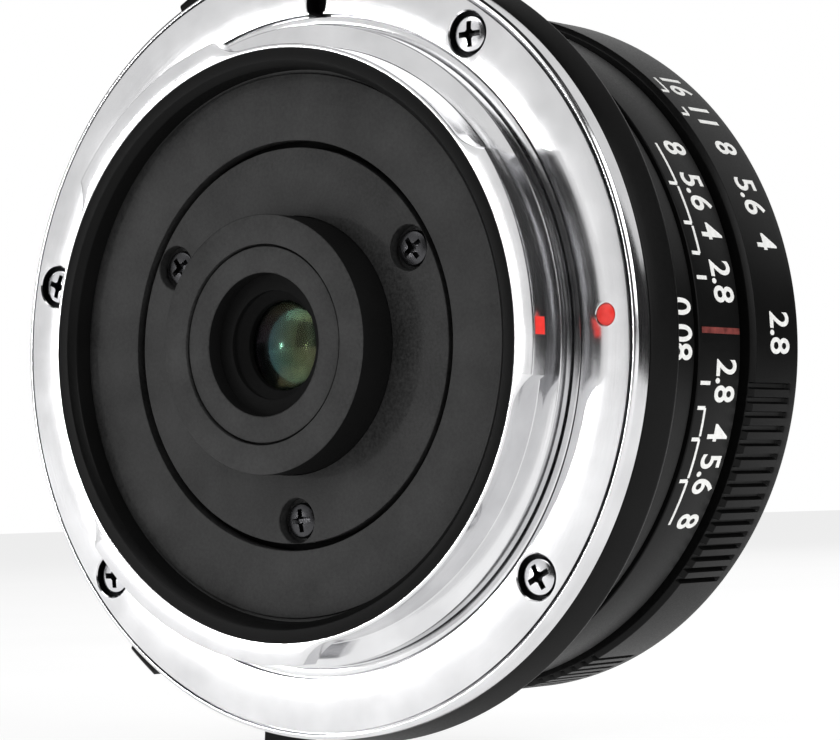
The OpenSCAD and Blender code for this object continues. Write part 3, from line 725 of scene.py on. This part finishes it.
KNURL_SECTIONS = [205.8 + 56 * i for i in range(5)]
KNURL_GROOVES = 16
KNURL_PITCH = 2.3
KNURL_DEPTH = 0.32
KNURL_END = 20.7
GROOVE_HALF = 0.55          # half width of a knurl groove at its mouth, in degrees
GROOVE_SLOPE = 0.25         # how much of that half width is its sloping side
groove_angles = [(middle + (i - (KNURL_GROOVES - 1) / 2) * KNURL_PITCH) % 360
                 for middle in KNURL_SECTIONS for i in range(KNURL_GROOVES)]


def groove_share(angle):
    """1 on the floor of a knurl groove and 0 on the ribs."""
    off = min(abs((angle - middle + 180) % 360 - 180) for middle in groove_angles)
    return min(1.0, max(0.0, (GROOVE_HALF - off) / GROOVE_SLOPE))


def aperture_outline(angle):
    deep = groove_share(angle) * KNURL_DEPTH
    return rounded([
        (13.8, APERTURE_REAR, 0), (APERTURE_R - 0.32, APERTURE_REAR, 0.05),
        (APERTURE_R - deep, APERTURE_REAR + 0.32, 0.05), (APERTURE_R - deep, KNURL_END - 0.2, 0.1),
        (APERTURE_R, KNURL_END, 0.05), (APERTURE_R, APERTURE_FRONT - 0.3, 0.12),
        (APERTURE_R - 0.3, APERTURE_FRONT, 0.08), (HOUSING_R, APERTURE_FRONT, 0), (HOUSING_R, 16.9, 0),
        (13.8, 16.9, 0),
    ])


def knurl_angles():
    steps = (GROOVE_HALF - GROOVE_SLOPE, GROOVE_HALF - 0.13, GROOVE_HALF)
    edges = [middle + side * off for middle in groove_angles for side in (-1, 1) for off in steps]
    return sorted(set(around() + [edge % 360 for edge in edges]))


aperture = bmesh.new()
turn(aperture, aperture_outline, knurl_angles())
add_piece("aperture_ring_shell", aperture, "aperture", barrel_black, ["aperture_ring"])

bezel = bmesh.new()
turn(bezel, rounded([
    (15.05, 20.26, 0.05), (15.5, 19.92, 0), (17.0, 19.92, 0), (17.0, 20.65, 0), (19.45, 20.65, 0),
    (19.45, 21.85, 0), (21.9, 21.85, 0.05), (21.9, 22.28, 0.15), (19.6, 22.3, 0.1), (15.9, 20.95, 0.1),
    (15.05, 20.6, 0.06),
]))
add_piece("front_bezel_ring", bezel, "lens_head", barrel_black, ["front_bezel"])


# ---- scales ----

LETTER = 2.3                # height of a numeral
LETTER_ASPECT = 1.165       # length of "2.8" over its height
INFINITY_HEIGHT = 1.3
DEPTH_ROW = 13.75           # heights of the rows of numerals, at their middles
APERTURE_ROW = 19.2
DISTANCE_ROW = 8.9
TICK_FOOT = 10.9            # where the depth of field marks start
BRACKET_ROW = 11.75
LINE_WIDTH = 0.23
MARK_PROUD = 0.02           # how far the paint stands out of the ring, and reaches into it


def numeral_mesh(text):
    """A thin solid number at the font's own size, as points and faces."""
    curve = bpy.data.curves.new("numeral", "FONT")
    curve.body = text
    curve.extrude = 0.01
    curve.offset = 0.016
    curve.resolution_u = 6
    curve.align_x = "CENTER"
    shown = bpy.data.objects.new("numeral", curve)
    bpy.context.scene.collection.objects.link(shown)
    bpy.context.view_layer.update()
    mesh = bpy.data.meshes.new_from_object(shown.evaluated_get(bpy.context.evaluated_depsgraph_get()))
    bpy.data.objects.remove(shown)
    points = [v.co.copy() for v in mesh.vertices]
    return points, [tuple(p.vertices) for p in mesh.polygons]


def span_of(points, axis):
    values = [p[axis] for p in points]
    return min(values), max(values)


sample_points, _ = numeral_mesh("2.8")
sample_x, sample_y = span_of(sample_points, 0), span_of(sample_points, 1)
FONT_HEIGHT = sample_y[1] - sample_y[0]
FONT_STRETCH = LETTER_ASPECT * FONT_HEIGHT / (sample_x[1] - sample_x[0])


def write(bm, text, radius, angle, h, height=LETTER):
    """Wraps a number round a cylinder, read with the front of the lens upwards."""
    points, faces = numeral_mesh(text)
    x0, x1 = span_of(points, 0)
    y0, y1 = span_of(points, 1)
    size = height / FONT_HEIGHT
    made = []
    for p in points:
        along = (p.x - (x0 + x1) / 2) * size * FONT_STRETCH
        up = (p.y - (y0 + y1) / 2) * size
        a = math.radians(angle) + along / radius
        r = radius + (MARK_PROUD if p.z > 0 else -MARK_PROUD)
        made.append(bm.verts.new(POSED @ Vector((r * math.cos(a), r * math.sin(a), h + up))))
    for face in faces:
        bm.faces.new([made[i] for i in face])


def arc_mark(bm, radius, angles, h):
    wrapped_patch(bm, radius, angles, h - LINE_WIDTH / 2, h + LINE_WIDTH / 2, MARK_PROUD)


def tick_mark(bm, radius, angle, low, high, width=0.24):
    half = math.degrees(width / 2 / radius)
    wrapped_patch(bm, radius, (angle - half, angle + half), low, high, MARK_PROUD)


DEPTH_STOPS = (("2.8", 8.0, 8.4, None), ("4", 16.4, 12.4, 17.0), ("5.6", 23.4, 17.5, 24.0),
               ("8", 31.8, 24.5, 32.3))
depth_scale = bmesh.new()
for text, number_at, tick_at, line_end in DEPTH_STOPS:
    for side in (-1, 1):
        write(depth_scale, text, DEPTH_R, 180 + side * number_at, DEPTH_ROW)
        tick_end = BRACKET_ROW if line_end else BRACKET_ROW + 0.25
        tick_mark(depth_scale, DEPTH_R, 180 + side * tick_at, TICK_FOOT, tick_end)
        if line_end:
            ends = sorted((180 + side * tick_at, 180 + side * line_end))
            arc_mark(depth_scale, DEPTH_R, ends, BRACKET_ROW)
add_piece("depth_scale_marks", depth_scale, "root", white_paint)

index_line = bmesh.new()
tick_mark(index_line, DEPTH_R, 180, TICK_FOOT, 15.2, 0.38)
add_piece("depth_scale_index", index_line, "root", dull_red_paint)

APERTURE_STOPS = (("2.8", 180), ("4", 165.1), ("5.6", 157.1), ("8", 147.9), ("11", 141.0), ("16", 133.9))
aperture_scale = bmesh.new()
for text, angle in APERTURE_STOPS:
    write(aperture_scale, text, APERTURE_R, angle, APERTURE_ROW)
for start, end in ((131.9, 135.6), (139.4, 141.2)):
    arc_mark(aperture_scale, APERTURE_R, (start, end), 17.35)
    tick_mark(aperture_scale, APERTURE_R, end, 16.6, 17.35)
add_piece("aperture_scale_marks", aperture_scale, "aperture", white_paint)

DISTANCES = (("0.08", 180), ("0.2", 236), ("0.5", 257), ("∞", 270))
distance_scale = bmesh.new()
for text, angle in DISTANCES:
    write(distance_scale, text, DISTANCE_R, angle, DISTANCE_ROW, LETTER if text != "∞" else INFINITY_HEIGHT)
add_piece("distance_scale_marks", distance_scale, "focus", white_paint)


# ---- studio ----

WHITE = (1, 1, 1, 1)


def softbox(name, place, width, height, radiance):
    """A rectangular area light of a given radiance that faces the lens and isn't seen itself."""
    light = bpy.data.lights.new(name, "AREA")
    light.shape = "RECTANGLE"
    light.size, light.size_y = width, height
    light.energy = radiance * math.pi * width * height
    lamp = bpy.data.objects.new(name, light)
    lamp.location = place
    lamp.visible_camera = False
    lamp.rotation_euler = (Vector() - Vector(place)).to_track_quat("-Z", "Y").to_euler()
    bpy.context.scene.collection.objects.link(lamp)


def sheet(name, material, columns, rows, size):
    """A flat grid with a material, centred on its own origin."""
    grid = bmesh.new()
    bmesh.ops.create_grid(grid, x_segments=columns, y_segments=rows, size=size)
    made = bpy.data.objects.new(name, bpy.data.meshes.new(name))
    grid.to_mesh(made.data)
    grid.free()
    made.data.materials.append(material)
    bpy.context.scene.collection.objects.link(made)
    return made


softbox("key_panel", (0.34, 0.40, 0.10), 0.42, 0.50, 0.85)
softbox("key_core", (0.38, 0.46, 0.030), 0.03, 0.03, 60.0)
softbox("upper_panel", (0.12, 0.35, 0.42), 0.40, 0.40, 2.2)
softbox("side_panel", (-0.45, 0.08, 0.22), 0.35, 0.35, 4.5)
softbox("front_panel", (0, -0.50, 0.36), 0.75, 0.50, 0.8)

floor_z = cad_low.z
floor_material, floor_tree, floor_shader = start_material("pale_floor", Roughness=0.6, Emission_Strength=0.84)
floor_clouds = noise(floor_tree, place_of(floor_tree), 30.0)
floor_tint = tint(floor_tree, floor_clouds, (0.28, 0.28, 0.28), (0.32, 0.32, 0.32))
floor_tree.links.new(floor_tint, floor_shader.inputs["Base Color"])
floor_shader.inputs["Emission Color"].default_value = WHITE
floor = sheet("floor", floor_material, 8, 8, 3.0)
floor.location.z = floor_z

# Two low black flags keep the polished sides dark where they face neither a softbox nor the floor.
FLAG_HALF_WIDTH, FLAG_HALF_HEIGHT = 0.11, 0.018
for name, y in (("front_flag", -0.21), ("rear_flag", 0.21)):
    flag = sheet(name, inner_black_and_shade, 4, 2, 1.0)
    away = Vector((-0.135, y, 0))
    place = Matrix.Translation(away + Vector((0, 0, floor_z + FLAG_HALF_HEIGHT)))
    facing = away.to_track_quat("Z", "Y").to_matrix().to_4x4()
    flag.matrix_world = place @ facing @ Matrix.Diagonal((FLAG_HALF_WIDTH, FLAG_HALF_HEIGHT, 1, 1))
    flag.visible_camera = False

world = bpy.data.worlds.new("studio")
world.use_nodes = True
bpy.context.scene.world = world
world_tree = world.node_tree
# The camera sees a white backdrop, and everything else only a faint glow.
seen = node(world_tree, "LightPath").outputs["Is Camera Ray"]
backdrop = node(world_tree, "Background", {"Color": WHITE, "Strength": 1.0})
room = node(world_tree, "Background", {"Color": WHITE, "Strength": 0.02})
both = node(world_tree, "MixShader", {"Fac": seen, 1: room.outputs[0], 2: backdrop.outputs[0]})
world_tree.links.new(both.outputs[0], world_tree.nodes["World Output"].inputs["Surface"])
bpy.context.scene.view_settings.view_transform = "Standard"

# ---- camera ----

CAMERA_PLACE = Vector((-0.11936, 0.14399, -0.01044))
CAMERA_RIGHT = Vector((-0.7918, -0.6100, -0.0310))
CAMERA_BACK = Vector((-0.6085, 0.7922, -0.0467))
CAMERA_LENS = 128.57        # focal length on the default 36 mm wide sensor
camera = bpy.data.objects.new("camera", bpy.data.cameras.new("camera"))
camera.data.lens = CAMERA_LENS
camera.data.clip_start = 0.01
back = CAMERA_BACK.normalized()
up = back.cross(CAMERA_RIGHT).normalized()
aim = Matrix((up.cross(back), up, back)).transposed().to_4x4()
camera.matrix_world = Matrix.Translation(CAMERA_PLACE) @ aim
bpy.context.scene.collection.objects.link(camera)
bpy.context.scene.camera = camera
